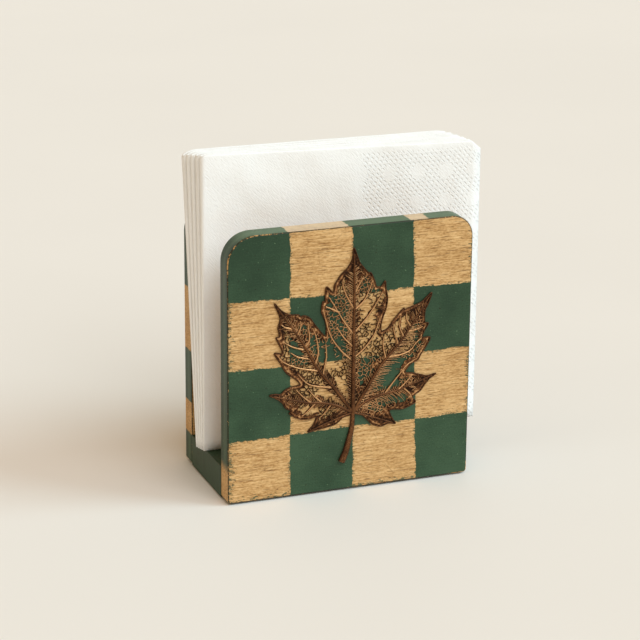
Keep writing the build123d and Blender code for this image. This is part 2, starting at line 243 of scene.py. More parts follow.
# Floor board and shelf of the base: thin planed pine boards, left bare, whose long edges are glued into
# the rabbets and grooves of both panels. The drawer runs between them and the napkins stand on the shelf.
PALE_WOOD = paint(222, 186, 134)
MID_WOOD = paint(197, 157, 104)
DEEP_WOOD = paint(154, 113, 64)
PORE_WOOD = paint(98, 68, 38)


def planed_wood(finish, along, across, through):
    """Colour and height of planed pine. The grain runs along the first of the three places."""

    def grain(lengthwise, crosswise, detail, roughness):
        return finish.noise(along * lengthwise, across * crosswise, through * crosswise, detail, roughness)

    cloud = grain(0.05, 0.11, 3.0, 0.5)
    streak = grain(0.03, 0.9, 4.0, 0.7)
    fibre = grain(0.14, 1.6, 3.0, 0.75)
    dash = grain(0.1, 1.3, 2.0, 0.55)
    speck = grain(0.55, 1.1, 2.0, 0.6)
    tone = (cloud - 0.5) * 0.5 + (streak - 0.5) * 1.0 + (fibre - 0.5) * 1.5 + (speck - 0.5) * 0.8 + 0.47
    colour = finish.tones(tone, [(0.14, DEEP_WOOD), (0.5, MID_WOOD), (0.86, PALE_WOOD)])
    pore = dash.rise(0.61, 0.67).most(1 - speck.rise(0.27, 0.32))
    colour = finish.mix(pore * 0.6, colour, PORE_WOOD)
    return colour, tone - pore * 0.6


def wood_finish(name, grain):
    """Bare planed wood whose grain runs along x or y."""
    wood = Finish(name)
    runs = (wood.x, wood.y, wood.z) if grain == "x" else (wood.y, wood.x, wood.z)
    colour, height = planed_wood(wood, *runs)
    return wood.surface(colour, 0.62 - height * 0.08, height, 0.06)


def dress(node, material):
    """Gives a CAD node its finish."""
    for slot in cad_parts[node].material_slots:
        slot.material = material


long_grain = wood_finish("bare_pine_along", "x")
cross_grain = wood_finish("bare_pine_across", "y")
dress("floor_board", long_grain)
dress("shelf_board", long_grain)


# End block of the base: a solid pine block that closes the left end, brushed upwards with the same
# satin green as the panels. Its green is painted darker all over as shade, and darker still where the ground
# shows through the strokes, and its top corner is darker.
GREEN_DARK = paint(36, 58, 40)
GREEN = paint(47, 71, 50)
GREEN_PALE = paint(58, 83, 60)
GREEN_FLECK = paint(100, 126, 94)
# Darker green for painted shade and for the ground seen through brush strokes.
SHADE_GROUND_GREEN = paint(30, 48, 23)
OLD_GLAZE = paint(36, 30, 17)
WORN_WOOD = paint(186, 142, 88)
PALE_PINE = paint(226, 216, 196)


def green_coat(finish):
    """Colour and height of the brushed green paint."""
    cloud = finish.patches(0.045, 0.05, 0.045, 3.0)
    brush = finish.patches(0.12, 0.4, 1.6, 3.0, 0.6)
    grit = finish.patches(1.2, 1.2, 1.2, 3.0, 0.75)
    tone = (cloud - 0.5) * 1.1 + (brush - 0.5) * 0.5 + (grit - 0.5) * 1.1 + (76 - finish.z) * 0.002 + 0.48
    colour = finish.tones(tone, [(0.2, GREEN_DARK), (0.5, GREEN), (0.8, GREEN_PALE)])
    spots = finish.patches(0.75, 0.75, 0.75, 1.0)
    colour = finish.mix(spots.rise(0.74, 0.77) * 0.8, colour, GREEN_FLECK)
    colour = finish.mix((1 - spots.rise(0.25, 0.28)) * 0.8, colour, OLD_GLAZE)
    return colour, tone


def painted_finish(coat, bare, corners, wear, cracks=0.0, painted_side_highlight=0.0, shade_and_ground=0.0, painted_top_highlight=0.0):
    """Green paint over pine: bare squares, darker and worn corners, cracks, painted highlights on edge faces
    and tops, painted shade with the ground through the strokes.
    """
    wood_colour, wood_height = planed_wood(coat, coat.x, coat.z, coat.y)
    green_colour, green_height = green_coat(coat)
    # Painted shade, mixed with the ground seen through the strokes, darkens the green.
    green_colour = coat.mix(shade_and_ground, green_colour, SHADE_GROUND_GREEN)
    # Painted highlight: the edge faces are lighter along their middle.
    green_colour = coat.mix(painted_side_highlight, green_colour, GREEN_FLECK)
    # Painted highlight: the top faces are painted lighter, green and wood alike.
    green_colour = coat.mix(painted_top_highlight * 0.5, green_colour, GREEN_FLECK)
    wood_colour = coat.mix(painted_top_highlight * 0.45, wood_colour, PALE_PINE)
    wood_colour = coat.mix(bare * cracks * 0.25, wood_colour, PORE_WOOD)
    colour = coat.mix(bare, green_colour, wood_colour)
    chip = coat.patches(0.9, 0.9, 0.9, 4.0, 0.7)
    spell = coat.patches(0.09, 0.09, 0.09, 2.0)
    colour = coat.mix(corners * (0.9 - chip.rise(0.5, 0.65) * 0.5), colour, OLD_GLAZE)
    rubbed = corners.rise(0.1, 0.5) * (chip + (spell - 0.5) * 0.5 + wear * 0.3).rise(0.77, 0.83)
    colour = coat.mix(rubbed, colour, WORN_WOOD)
    open_wood = rubbed.most(bare)
    roughness = 0.44 + open_wood * 0.18 + (green_height - 0.5) * 0.1
    height = wood_height * (0.35 + open_wood * 0.4) + (1 - open_wood) * 1.2 + green_height * 0.4
    return coat.surface(colour, roughness, height, 0.07, {"Specular IOR Level": 0.22})


base_coat = Finish("base_green")
block_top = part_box("left_end_block")[1].z / MM
block_corner = (base_coat.z - (block_top - 1.0)).rise(0.0, 1.0) * (-base_coat.facing_x).rise(0.5, 0.8)
block_strokes = base_coat.patches(0.5, 0.5, 0.06, 4.0, 0.6)
# Painted shade and ground: the end block is painted darker all over as shade, more so in its brush strokes.
block_shade_and_ground = block_strokes.rise(0.3, 0.7) * 0.5 + 0.3
dress("left_end_block", painted_finish(base_coat, 0.0, block_corner * 0.6, 0.3, shade_and_ground=block_shade_and_ground))


# Upright panels: two pine boards with rounded top corners, glued to the base and dowelled to its end block.
# Green squares are brushed on by hand between bare ones, so their edges waver. The insides are left bare.
COLUMN_EDGES = [(-35.0, -1.0), (1.8, -1.8), (40.0, -4.0)]
ROW_EDGES = [(115.2, -3.0), (77.2, -1.4), (37.4, 0.6)]
TILT_SPAN = 150.0
EDGE_WAVER = 3.4
EDGE_FRAY = 1.5


def check_gap(coat, x, z):
    """Distance to the nearest edge of a square, in mm: below 0 on green squares, above on bare ones."""
    drift_x = (coat.noise(coat.x * 0.06, coat.y, coat.z * 0.06 + 7.0) - 0.5) * EDGE_WAVER
    drift_z = (coat.noise(coat.x * 0.06 + 31.0, coat.y, coat.z * 0.06) - 0.5) * EDGE_WAVER
    fray = (coat.patches(0.7, 0.7, 0.7, 3.0, 0.6) - 0.5) * EDGE_FRAY
    gap = None
    side = None
    for (place, tilt), value, other, drift in (
            [(edge, x, z, drift_x) for edge in COLUMN_EDGES] + [(edge, z, x, drift_z) for edge in ROW_EDGES]):
        past = value + drift - other * (tilt / TILT_SPAN) - place
        gap = abs(past) if gap is None else gap.least(abs(past))
        side = past.math("SIGN", past) if side is None else side * past.math("SIGN", past)
    return side * gap + fray


def bare_check(coat, x, z):
    """1 on the bare squares, with green left by the brush near their edges and along the panel's sides."""
    gap = check_gap(coat, x, z)
    bare = gap.rise(-0.12, 0.12)
    fleck = coat.patches(0.6, 0.6, 1.3, 4.0, 0.7)
    missed = (fleck - gap * 0.075).rise(0.5, 0.54)
    low, high = [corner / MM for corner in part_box("front_panel")]
    side = (x - low.x).least((high.x - x) * 1.5).least((z - low.z) * 1.3)
    dragged = coat.patches(0.5, 0.6, 1.1, 4.0, 0.75)
    missed = missed.most((dragged - side * 0.034).rise(0.45, 0.5))
    return bare * (1 - missed * 0.85)


def fine_cracks(coat):
    """Thin broken cracks, darker than the wood, that cross the bare squares."""
    bend = (coat.patches(0.2, 1.0, 0.2, 3.0) - 0.5) * 5.0
    place = coat.spot((coat.x + bend) * 0.08, coat.y * 0.08, (coat.z - bend) * 0.055)
    gap = coat.node("ShaderNodeTexVoronoi", {"feature": "DISTANCE_TO_EDGE"}, {"Vector": place, "Scale": 1.0})
    broken = coat.noise(coat.x * 0.25, coat.y, coat.z * 0.25 + 40.0, 2.0).rise(0.52, 0.62)
    return (1 - gap.rise(0.004, 0.016)) * broken


def between(value, low, high, soft=0.4):
    """1 between two places and 0 outside them."""
    return value.rise(low - soft, low + soft) * (1 - value.rise(high - soft, high + soft))


def arris(coat):
    """1 on the eased edge between the broad faces and the edge faces."""
    broad = abs(coat.facing_y)
    return broad.rise(0.3, 0.6) * (1 - broad.rise(0.88, 0.97))


def edge_marks(coat, node):
    """A painted highlight along the middle of the edge faces, painted shade with brush strokes on their
    sides, a painted highlight on their tops.
    """
    low, high = [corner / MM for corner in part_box(node)]
    middle = low.y + (high.y - low.y) * 0.42
    edge_face = 1 - abs(coat.facing_y).rise(0.3, 0.7)
    patchy = coat.patches(0.1, 0.8, 0.1, 3.0).rise(0.3, 0.7)
    # A painted highlight: a lighter streak along the middle of each edge face.
    painted_side_highlight = between(coat.y, middle - 1.0, middle + 1.0, 2.0) * edge_face * (0.2 + patchy * 0.25)
    strokes = coat.patches(0.12, 0.9, 0.06, 3.0, 0.6)
    # Painted shade and ground: side edge faces are painted darker as shade, darker still where the ground
    # shows through the strokes.
    shade_and_ground = edge_face * (1 - coat.facing_z.rise(0.1, 0.6)) * (strokes.rise(0.3, 0.7) * 0.5 + 0.25)
    # A painted highlight: the top faces are painted lighter.
    painted_top_highlight = edge_face * coat.facing_z.rise(0.6, 1.0)
    return painted_side_highlight, shade_and_ground, painted_top_highlight


def panel_finish(coat, node, inward, along, bare_top, bare_left, wear):
    """A panel: its check, the bare parts of its top and of its left edge, its bare inside and its wear."""
    on_face = (-inward).rise(0.35, 0.6)
    bare_edge = (bare_top * coat.facing_z.rise(0.5, 0.7)).most(bare_left * (-coat.facing_x).rise(0.5, 0.7))
    bare_edge = bare_edge * (1 - inward.rise(0.3, 0.6))
    bare = bare_check(coat, along, coat.z) * on_face + bare_edge * (1 - on_face)
    bare = bare.most(inward.rise(0.7, 0.9))
    return painted_finish(coat, bare, arris(coat), wear, fine_cracks(coat), *edge_marks(coat, node))


def front_finish():
    """The front panel has stripes on its top, a bare left foot and more wear at two corners."""
    coat = Finish("front_checks")
    ragged = (coat.patches(0.5, 0.3, 0.5) - 0.5) * 3.0
    stripes = between(coat.x + ragged, -37.0, -2.0).most(between(coat.x + ragged, 34.0, 45.0))
    foot = 1 - (coat.z + ragged).rise(17.0, 25.0)
    top_left = (1 - coat.x.rise(-48.0, -34.0)) * coat.z.rise(128.0, 138.0)
    bottom_right = coat.x.rise(58.0, 68.0) * (1 - coat.z.rise(6.0, 14.0))
    left_side = 1 - coat.x.rise(-70.0, -66.0)
    wear = 0.4 + top_left * 0.6 + bottom_right * 0.8 + left_side * 0.25
    return panel_finish(coat, "front_panel", coat.facing_y, coat.x, stripes, foot, wear)


def back_finish():
    """The back panel has stripes on its top and bands on its left edge."""
    coat = Finish("back_checks")
    ragged = (coat.patches(0.5, 0.3, 0.5) - 0.5) * 2.0
    stripes = between(coat.x + ragged, -40.0, 0.0).most(between(coat.x + ragged, 36.0, 48.0))
    bands = between(coat.z + ragged, 69.0, 106.0).most(between(coat.z + ragged, 19.2, 38.5))
    return panel_finish(coat, "back_panel", -coat.facing_y, -coat.x, stripes, bands, 0.55)


dress("front_panel", front_finish())
dress("back_panel", back_finish())


# Dowels and drawer stop: birch pins glued across the joint between the panels and the end block, and a
# pine strip glued under the shelf, which the drawer's high back meets before the drawer comes out.
dress("panel_dowels", cross_grain)
dress("drawer_stop_strip", cross_grain)


# Maple leaf: a thin bronze casting, browned and then rubbed bright on its ridges, pinned to the front
# panel by three pins. Between its veins the blade is eaten away to a lace, and the checks show through.
LEAF_NODE = (1.2, 46.0)
LEAF_OUTLINE = [
    (-0.5, 94.8), (1.8, 89.2), (3.5, 85.4), (8.1, 80.0), (9.7, 79.6), (11.8, 75.0), (13.1, 71.3),
    (16.0, 71.3), (18.1, 74.3), (18.6, 70.0), (19.7, 64.2), (18.9, 58.3), (16.8, 52.5), (16.0, 48.3),
    (16.6, 45.4), (20.1, 46.7), (23.5, 51.3), (29.3, 57.3), (30.1, 56.5), (34.3, 57.9), (40.1, 60.0),
    (46.0, 64.7), (43.9, 58.3), (42.2, 54.6), (42.2, 48.0), (44.4, 47.1), (41.8, 42.5), (41.0, 39.2),
    (45.6, 38.8), (43.5, 34.2), (40.1, 29.2), (38.5, 26.3), (34.3, 24.6), (30.8, 20.0), (35.1, 19.0),
    (40.1, 17.5), (44.3, 16.3), (49.8, 17.1), (46.0, 14.6), (42.6, 10.8), (40.2, 7.8), (35.6, 5.0),
    (37.6, 1.7), (33.5, -0.4), (29.3, -1.5), (24.3, -1.0), (21.8, -1.7), (23.9, -6.7), (25.8, -9.8),
    (21.8, -9.0), (16.8, -10.2), (11.8, -8.3), (8.5, -5.0), (4.3, -1.2), (0.1, -1.0), (-5.7, -2.2),
    (-9.9, -5.4), (-15.7, -6.7), (-21.5, -7.5), (-26.5, -8.1), (-23.2, -4.2), (-21.5, 0.0),
    (-25.7, -0.6), (-31.1, 0.0), (-35.7, 2.5), (-37.5, 4.2), (-36.2, 5.4), (-39.5, 7.5), (-41.5, 10.8),
    (-45.3, 13.8), (-49.0, 15.7), (-45.7, 16.2), (-42.4, 15.8), (-39.9, 17.9), (-36.5, 19.2),
    (-31.2, 19.9), (-33.2, 22.9), (-37.0, 25.8), (-39.9, 28.8), (-42.4, 33.3), (-46.2, 39.6),
    (-41.5, 39.2), (-42.8, 43.3), (-45.2, 48.4), (-43.2, 48.8), (-44.0, 54.2), (-42.8, 59.2),
    (-46.2, 68.0), (-42.4, 63.8), (-37.4, 60.8), (-32.4, 60.2), (-31.1, 59.0), (-29.0, 59.3),
    (-25.7, 57.5), (-21.5, 51.7), (-16.5, 46.3), (-16.1, 51.7), (-17.4, 56.7), (-19.0, 60.8),
    (-18.2, 66.3), (-17.0, 65.8), (-16.3, 74.3), (-12.0, 70.4), (-11.5, 75.0), (-7.4, 80.8),
    (-4.5, 83.3), (-2.4, 86.3), (-1.1, 89.2),
]
# Each vein: half width at its root and at its tip, then its path from the node or from its parent vein.
MAIN_VEINS = [
    (1.5, 0.55, [(0.0, 0.0), (0.1, 16.7), (0.0, 41.7), (0.1, 66.7), (-0.3, 90.0)]),
    (1.15, 0.45, [(0.0, 0.0), (-10.7, 15.0), (-20.7, 27.5), (-30.7, 45.0), (-44.6, 65.4)]),
    (1.2, 0.45, [(0.0, 0.0), (13.5, 21.7), (19.3, 29.2), (28.5, 39.2), (44.4, 62.3)]),
    (1.0, 0.4, [(0.0, 0.0), (-9.0, 5.0), (-18.2, 7.9), (-27.4, 9.2), (-46.6, 14.9)]),
    (1.05, 0.4, [(0.0, 0.0), (6.8, 5.0), (16.0, 8.3), (26.8, 10.0), (47.2, 16.2)]),
    (0.7, 0.3, [(0.0, 0.0), (-10.0, -2.6), (-24.4, -7.4)]),
    (0.7, 0.3, [(0.0, 0.0), (10.0, -3.4), (24.2, -9.0)]),
]
SIDE_VEINS = [
    [(-0.7, 46.4), (-5.9, 53.6), (-10.5, 61.4), (-14.6, 68.2)],
    [(-1.8, 31.4), (-7.7, 37.3), (-13.2, 45.5), (-16.8, 56.4), (-17.3, 60.0)],
    [(-0.8, 39.0), (-5.6, 44.0), (-10.2, 51.0)],
    [(0.0, 60.0), (-5.0, 69.0), (-6.8, 75.5), (-5.9, 78.6)],
    [(1.2, 32.7), (6.8, 37.3), (12.3, 44.5), (15.4, 53.6)],
    [(1.0, 47.3), (8.6, 55.5), (14.1, 63.6), (16.8, 68.2)],
    [(1.0, 60.0), (5.9, 64.5), (9.5, 71.8), (10.4, 74.5)],
    [(0.6, 70.0), (5.3, 78.0)],
    [(-8.7, 59.0), (-13.2, 61.5), (-16.6, 63.2)],
    [(-29.6, 40.0), (-35.9, 42.3), (-41.4, 45.9)],
    [(-26.8, 34.5), (-32.3, 36.0), (-36.8, 39.0)],
    [(-21.2, 27.0), (-28.2, 28.5), (-34.2, 30.5), (-40.7, 34.0), (-44.5, 38.5)],
    [(-13.2, 16.4), (-18.7, 17.3), (-25.0, 19.0), (-28.7, 21.8), (-32.2, 26.0)],
    [(-28.5, 41.5), (-25.9, 45.5), (-26.5, 52.0), (-27.0, 55.5)],
    [(-22.4, 30.5), (-20.7, 37.3), (-21.8, 45.5), (-23.7, 51.0)],
    [(-17.8, 24.5), (-15.9, 34.5), (-16.4, 41.8)],
    [(-33.0, 48.5), (-31.0, 53.0), (-31.2, 56.5)],
    [(-35.5, 52.5), (-39.5, 53.6), (-42.2, 55.6)],
    [(19.3, 29.2), (17.5, 37.0), (17.8, 42.5)],
    [(26.4, 37.0), (24.0, 44.0), (23.5, 48.0)],
    [(29.6, 41.0), (27.2, 47.0), (27.6, 53.0)],
    [(33.6, 46.7), (31.0, 51.5), (31.4, 55.0)],
    [(31.6, 43.6), (36.8, 44.2), (40.8, 45.5)],
    [(20.2, 30.2), (27.8, 30.5), (33.8, 32.5), (36.8, 36.0), (40.3, 39.0)],
    [(19.0, 9.0), (24.8, 16.0), (28.8, 20.5), (31.8, 24.0), (35.8, 26.0)],
    [(-18.2, 7.9), (-23.0, 12.5), (-26.5, 17.0)],
    [(-25.0, 8.9), (-29.6, 13.0), (-33.5, 17.4)],
    [(-22.0, 8.4), (-26.5, 4.0), (-30.0, 1.4)],
    [(-13.0, 6.2), (-17.0, 1.5), (-20.0, -1.0)],
    [(26.8, 10.0), (31.0, 13.5), (35.0, 17.5)],
    [(30.0, 11.0), (33.8, 7.2), (36.0, 3.2)],
]
SIDE_VEIN_HALF = (0.6, 0.26)
STEM = [(0.0, 1.0), (-0.5, -8.3), (-2.0, -15.0), (-4.0, -22.5), (-6.5, -28.3)]
STEM_HALF = (1.2, 2.1)
RIM_HALF = (0.36, 0.36)
BLADE_STEP = 0.4
THREAD_CELL = 1.9
THREAD_HALF = (0.32, 0.16)
DARK_THREAD_HALF = (0.29, 0.16)
STROKE_HALF = (0.3, 0.1)
STROKE_PITCH = 1.2
FRINGE_PITCH = 1.7
# Extra length of the strokes in the combed fields, by vein and by side: 1 for its left, -1 for its right.
LONG_STROKES = {(0, 1): 2.5, (2, -1): 5.5, (4, -1): 5.0}


def measured(path):
    """A path as an array, the lengths of its steps and the run up to each of its points."""
    line = np.array(path)
    lengths = np.linalg.norm(np.diff(line, axis=0), axis=1)
    return line, lengths, np.concatenate([[0.0], np.cumsum(lengths)])


def leaf_distance(places, path):
    """From each place to a path: the distance, and the share of the path's length at the nearest point."""
    line, lengths, run = measured(path)
    best = np.full(len(places), np.inf)
    share = np.zeros(len(places))
    for a, b, length, before in zip(line, line[1:], lengths, run):
        along = np.clip((places - a) @ (b - a) / length ** 2, 0.0, 1.0)
        gap = np.linalg.norm(places - a - along[:, None] * (b - a), axis=1)
        nearer = gap < best
        best[nearer] = gap[nearer]
        share[nearer] = (before + along[nearer] * length) / run[-1]
    return best, share


def inside_leaf(places):
    """Whether each place lies inside the leaf's outline."""
    inside = np.zeros(len(places), bool)
    for (ax, az), (bx, bz) in zip(LEAF_OUTLINE, LEAF_OUTLINE[1:] + LEAF_OUTLINE[:1]):
        if az == bz:
            continue
        crosses = (places[:, 1] > min(az, bz)) & (places[:, 1] <= max(az, bz))
        inside ^= crosses & (places[:, 0] < ax + (places[:, 1] - az) / (bz - az) * (bx - ax))
    return inside


def mottle(places, size, seed):
    """Smooth random values from 0 to 1 over the leaf, with patches of a given size."""
    lattice = np.random.default_rng(seed).random((90, 90))
    at = places / size + 40.0
    whole = np.floor(at).astype(int)
    part = at - whole
    part = part * part * (3 - 2 * part)
    i, k = whole[:, 0] % 89, whole[:, 1] % 89
    low = lattice[i, k] * (1 - part[:, 0]) + lattice[i + 1, k] * part[:, 0]
    high = lattice[i, k + 1] * (1 - part[:, 0]) + lattice[i + 1, k + 1] * part[:, 0]
    return low * (1 - part[:, 1]) + high * part[:, 1]


def lace_threads():
    """Fine threads between the irregular cells of the lace, each a short bent line."""
    rng = np.random.default_rng(21)
    outline = np.array(LEAF_OUTLINE)
    low, high = outline.min(axis=0), outline.max(axis=0)
    across, along = [np.arange(a, b, THREAD_CELL) for a, b in zip(low, high)]
    seeds = np.stack(np.meshgrid(across, along, indexing="ij"), axis=-1).reshape(-1, 2)
    seeds += (rng.random(seeds.shape) - 0.5) * 1.3 * THREAD_CELL
    cells = delaunay_2d_cdt([Vector(seed) for seed in seeds], [], [], 0, 1e-4)
    corners = np.array(cells[0])
    neighbours = {}
    centres = []
    for face in cells[2]:
        a, b, c = corners[list(face)]
        turn = 2 * ((b - a)[0] * (c - a)[1] - (b - a)[1] * (c - a)[0])
        square = np.array([(b - a) @ (b - a), (c - a) @ (c - a)])
        lift = [square[0] * (c - a)[1] - square[1] * (b - a)[1],
                square[1] * (b - a)[0] - square[0] * (c - a)[0]]
        centres.append(a + np.array(lift) / turn)
        for side in zip(face, face[1:] + face[:1]):
            neighbours.setdefault(frozenset(side), []).append(len(centres) - 1)
    threads = []
    for pair in neighbours.values():
        if len(pair) == 2:
            start, finish = centres[pair[0]], centres[pair[1]]
            bend = (start + finish) / 2 + (rng.random(2) - 0.5) * 0.7
            threads.append(np.array([start, bend, finish]))
    middles = np.array([thread[1] for thread in threads])
    kept = rng.random(len(threads)) < 2.6 * mottle(middles, 8.0, 10) - 0.95
    ends_in = inside_leaf(np.concatenate(threads)).reshape(-1, 3).all(axis=1)
    short = np.array([np.linalg.norm(thread[2] - thread[0]) for thread in threads])
    kept &= ends_in & (short > 0.5) & (short < 4.5)
    return [[tuple(point) for point in thread] for thread, keep in zip(threads, kept) if keep]


def over_bare(place):
    """Whether a place on the leaf lies over a bare square, where the threads are left dark."""
    x, z = place[0] + LEAF_NODE[0], place[1] + LEAF_NODE[1]
    past = [x - z * tilt / TILT_SPAN > edge for edge, tilt in COLUMN_EDGES]
    past += [z - x * tilt / TILT_SPAN > edge for edge, tilt in ROW_EDGES]
    return sum(past) % 2 == 0


def side_strokes():
    """Feathered strokes on both sides of the main veins, short but for the combed fields."""
    rng = np.random.default_rng(8)
    strokes = []
    for number, (_, _, path) in enumerate(MAIN_VEINS[:5]):
        line, lengths, run = measured(path)
        for place in np.arange(4.0, run[-1] * 0.93, STROKE_PITCH):
            step = min(np.searchsorted(run, place, side="right") - 1, len(lengths) - 1)
            along = (line[step + 1] - line[step]) / lengths[step]
            root = line[step] + along * (place - run[step])
            for turn in (-1, 1):
                slant = math.radians(turn * (46 + 16 * rng.random()))
                aim = np.array([along[0] * math.cos(slant) - along[1] * math.sin(slant),
                                along[0] * math.sin(slant) + along[1] * math.cos(slant)])
                reach = 2.0 + 4.0 * rng.random() ** 2 + LONG_STROKES.get((number, turn), 0.0)
                bend = root + aim * reach * 0.5 + along * reach * 0.06
                strokes.append([tuple(root), tuple(bend), tuple(root + aim * reach)])
    tips = inside_leaf(np.array([stroke[2] for stroke in strokes]))
    return [stroke for stroke, inside in zip(strokes, tips) if inside]


def rim_fringe():
    """Short strokes that run inward from the rim and feather its inner edge."""
    rng = np.random.default_rng(13)
    fringe = []
    for a, b in zip(LEAF_OUTLINE, LEAF_OUTLINE[1:] + LEAF_OUTLINE[:1]):
        start, along = np.array(a), np.array(b) - np.array(a)
        inward = np.array([along[1], -along[0]]) / np.linalg.norm(along)
        for _ in range(round(np.linalg.norm(along) / FRINGE_PITCH)):
            root = start + along * rng.random()
            tip = root + (inward + (rng.random(2) - 0.5) * 1.2) * (2.5 + 3.0 * rng.random())
            bend = (root + tip) / 2 + (rng.random(2) - 0.5) * 0.8
            fringe.append([tuple(root), tuple(bend), tuple(tip)])
    inside = inside_leaf(np.array([line[1:] for line in fringe]).reshape(-1, 2)).reshape(-1, 2).all(axis=1)
    return [line for line, kept in zip(fringe, inside) if kept]


def lace_blade():
    """The blade: where it is bronze, how high it stands, how bright it is rubbed and where it is painted
    darker beside the veins, as a closed mesh.
    """
    outline = np.array(LEAF_OUTLINE)
    low = outline.min(axis=0) - 2 * BLADE_STEP
    count = np.ceil((outline.max(axis=0) - low) / BLADE_STEP).astype(int) + 3
    grid = np.stack(np.meshgrid(np.arange(count[0]), np.arange(count[1]), indexing="ij"), axis=-1)
    places = low + grid.reshape(-1, 2) * BLADE_STEP
    fine, coarse = mottle(places, 1.0, 2) - 0.5, mottle(places, 8.0, 1)
    rim, _ = leaf_distance(places, LEAF_OUTLINE + LEAF_OUTLINE[:1])
    rim = np.where(inside_leaf(places), rim, -rim)
    metal = 1.4 + 4.0 * coarse ** 2 + 2.2 * fine - rim
    near_vein = np.full(len(places), np.inf)
    brown_tip = np.zeros(len(places))
    for number, (root, tip, path) in enumerate(MAIN_VEINS):
        gap, share = leaf_distance(places, path)
        half = root + (tip - root) * share
        skirt = 0.6 + 3.6 * mottle(places, 7.0, 8) ** 2 + 2.2 * fine + (1.6 if number > 4 else 0.0)
        solid_tip = 8.0 * np.clip((share - 0.73) / 0.16, 0, 1) + 2.0 * fine - 0.6
        metal = np.maximum(metal, np.maximum(half + skirt, solid_tip) - gap)
        near_vein = np.minimum(near_vein, gap - half)
        brown_tip = np.maximum(brown_tip, np.clip((share - 0.78) / 0.12, 0, 1) * np.clip(7.0 - gap, 0, 1))
    for path in SIDE_VEINS:
        gap, share = leaf_distance(places, path)
        metal = np.maximum(metal, 0.7 - 0.4 * share + 1.4 * fine - gap)
    metal = np.minimum(metal, rim)
    tone = 0.54 * mottle(places, 2.4, 14) - 0.09
    tone += 0.42 * np.clip((mottle(places, 0.9, 15) - 0.56) / 0.2, 0, 1)
    # Beside the veins the blade is darker: partly browning kept in the angle there, partly painted shade of
    # the raised veins.
    tone += 0.4 * np.exp(-((rim - 1.0) / 0.4) ** 2) - 0.34 * np.clip(1 - near_vein / 1.5, 0, 1)
    tone *= 1 - 0.5 * brown_tip
    height = 0.38 + 0.2 * mottle(places, 2.2, 6) + 0.25 * np.clip(1.6 - np.abs(rim - 1.2), 0, 1)
    height -= 0.35 * np.clip(1 - rim / 0.8, 0, 1)
    net = np.column_stack([places, height, tone])
    return trace_lace(net.reshape(*count, 4), metal.reshape(count))


def trace_lace(net, metal):
    """Marching squares on the net: front faces, back faces and the walls between them."""
    points = []
    found = {}

    def corner(spot):
        if spot not in found:
            found[spot] = len(points)
            points.append(net[spot])
        return found[spot]

    def crossing(a, b):
        key = (min(a, b), max(a, b))
        if key not in found:
            found[key] = len(points)
            points.append(net[a] + (net[b] - net[a]) * metal[a] / (metal[a] - metal[b]))
        return found[key]

    solid = metal > 0
    fronts = []
    busy = solid[:-1, :-1] | solid[1:, :-1] | solid[:-1, 1:] | solid[1:, 1:]
    for i, k in np.argwhere(busy):
        around = [(i, k), (i + 1, k), (i + 1, k + 1), (i, k + 1)]
        face = []
        for a, b in zip(around, around[1:] + around[:1]):
            if solid[a]:
                face.append(corner(a))
            if solid[a] != solid[b]:
                face.append(crossing(a, b))
        fronts.append(face)
    total = len(points)
    edges = {(a, b) for face in fronts for a, b in zip(face, face[1:] + face[:1])}
    walls = [(b, a, a + total, b + total) for a, b in edges if (b, a) not in edges]
    backs = [[number + total for number in reversed(face)] for face in fronts]
    flat = np.array(points) * (1, 1, 0, 1)
    return np.concatenate([points, flat]), fronts + backs + sorted(walls)


def open_tree(name, inputs):
    """A new Geometry Nodes tree, and its named inputs as fields."""
    tree = bpy.data.node_groups.new(name, "GeometryNodeTree")
    for label, kind in inputs:
        tree.interface.new_socket(label, in_out="INPUT", socket_type="NodeSocket" + kind)
    tree.interface.new_socket("Shape", in_out="OUTPUT", socket_type="NodeSocketGeometry")
    nodes = Nodes(tree)
    given = tree.nodes.new("NodeGroupInput")
    return nodes, [Field(nodes, socket) for socket in given.outputs[:len(inputs)]]


def close_tree(nodes, shape, material):
    """Smooths a tree's shape, gives it its material and hands it out."""
    shape = nodes.node("GeometryNodeSetShadeSmooth", None, {"Geometry": shape})
    shape = nodes.node("GeometryNodeRealizeInstances", None, {"Geometry": shape})
    shape = nodes.node("GeometryNodeSetMaterial", None, {"Geometry": shape, "Material": material})
    output = nodes.tree.nodes.new("NodeGroupOutput")
    nodes.tree.links.new(shape.socket, output.inputs[0])
    return nodes.tree


